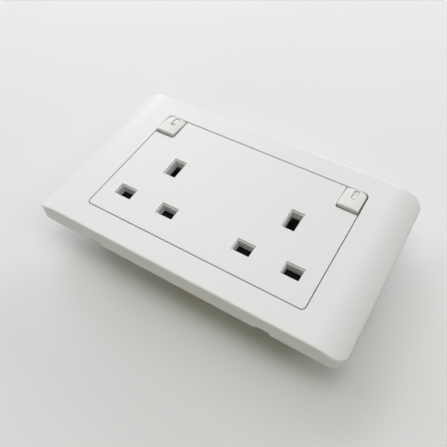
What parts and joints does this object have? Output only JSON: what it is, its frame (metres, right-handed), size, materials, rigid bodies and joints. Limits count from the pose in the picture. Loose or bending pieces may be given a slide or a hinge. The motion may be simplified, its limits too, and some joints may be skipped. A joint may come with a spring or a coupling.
{
  "type": "twin switched socket outlet",
  "caption": "Twin switched wall socket outlet for square-pin plugs, with rolled cover frame, rocker switches, shutters and contacts.",
  "frame": {"origin": "midway between the two fixing holes, in the wall plane (the rear rim of the cover frame)", "axes": "+X along the long side, +Y towards the earth apertures, +Z out of the face"},
  "size_m": [0.147, 0.086, 0.0331],
  "materials": {
    "white_plastic": "semi-gloss",
    "frame_plastic": "satin",
    "housing_plastic": "matte",
    "shutter_plastic": "matte",
    "plunger_plastic": "matte",
    "clear_lens": "gloss",
    "lamp_glass": "clear",
    "brass": "stamped",
    "silver": "polished",
    "steel": "zinc plated"
  },
  "bodies": {
    "outlet": {"cover_frame": "white_plastic", "mounting_frame": "frame_plastic", "socket_front": "white_plastic", "rear_housing": "housing_plastic", "line_terminal": "brass", "neutral_terminal": "brass", "earth_terminal_left": "brass", "earth_terminal_right": "brass", "terminal_screws": "steel", "housing_screws": "steel", "earth_contact": "brass", "neutral_contact": "brass", "line_feed": "brass", "fixed_tips": "silver", "line_contact_left": "brass", "shutter_spring_left": "steel", "line_contact_right": "brass", "shutter_spring_right": "steel"},
    "rocker_left_body": {"rocker_left": "white_plastic", "indicator_lens_left": "clear_lens", "indicator_lamp_left": "lamp_glass", "plunger_left": "plunger_plastic", "plunger_spring_left": "steel"},
    "lever_left_body": {"switch_lever_left": "brass", "moving_tip_left": "silver"},
    "shutter_left_body": {"shutter_left": "shutter_plastic"},
    "rocker_right_body": {"rocker_right": "white_plastic", "indicator_lens_right": "clear_lens", "indicator_lamp_right": "lamp_glass", "plunger_right": "plunger_plastic", "plunger_spring_right": "steel"},
    "lever_right_body": {"switch_lever_right": "brass", "moving_tip_right": "silver"},
    "shutter_right_body": {"shutter_right": "shutter_plastic"}
  },
  "joints": [
    {"name": "rocker_left_tilt", "type": "hinge", "parent": "outlet", "child": "rocker_left_body", "pos_m": [-0.0472, 0.02575, 0.0068], "axis": [1, 0, 0], "range_deg": [0, 16]},
    {"name": "lever_left_tilt", "type": "hinge", "parent": "outlet", "child": "lever_left_body", "pos_m": [-0.0472, 0.02575, -0.00625], "axis": [1, 0, 0], "range_deg": [-14, 0]},
    {"name": "shutter_left_slide", "type": "slide", "parent": "outlet", "child": "shutter_left_body", "axis": [0, -1, 0], "range_m": [0, 0.0054], "stiffness_N_per_m": 100, "springref_m": -0.002, "deforming": ["shutter_spring_left"]},
    {"name": "rocker_right_tilt", "type": "hinge", "parent": "outlet", "child": "rocker_right_body", "pos_m": [0.0472, 0.02575, 0.0068], "axis": [1, 0, 0], "range_deg": [0, 16]},
    {"name": "lever_right_tilt", "type": "hinge", "parent": "outlet", "child": "lever_right_body", "pos_m": [0.0472, 0.02575, -0.00625], "axis": [1, 0, 0], "range_deg": [-14, 0]},
    {"name": "shutter_right_slide", "type": "slide", "parent": "outlet", "child": "shutter_right_body", "axis": [0, -1, 0], "range_m": [0, 0.0054], "stiffness_N_per_m": 100, "springref_m": -0.002, "deforming": ["shutter_spring_right"]}
  ],
  "couplings": [
    {"joint": "lever_left_tilt", "follows": "rocker_left_tilt", "ratio": -0.875},
    {"joint": "lever_right_tilt", "follows": "rocker_right_tilt", "ratio": -0.875}
  ]
}
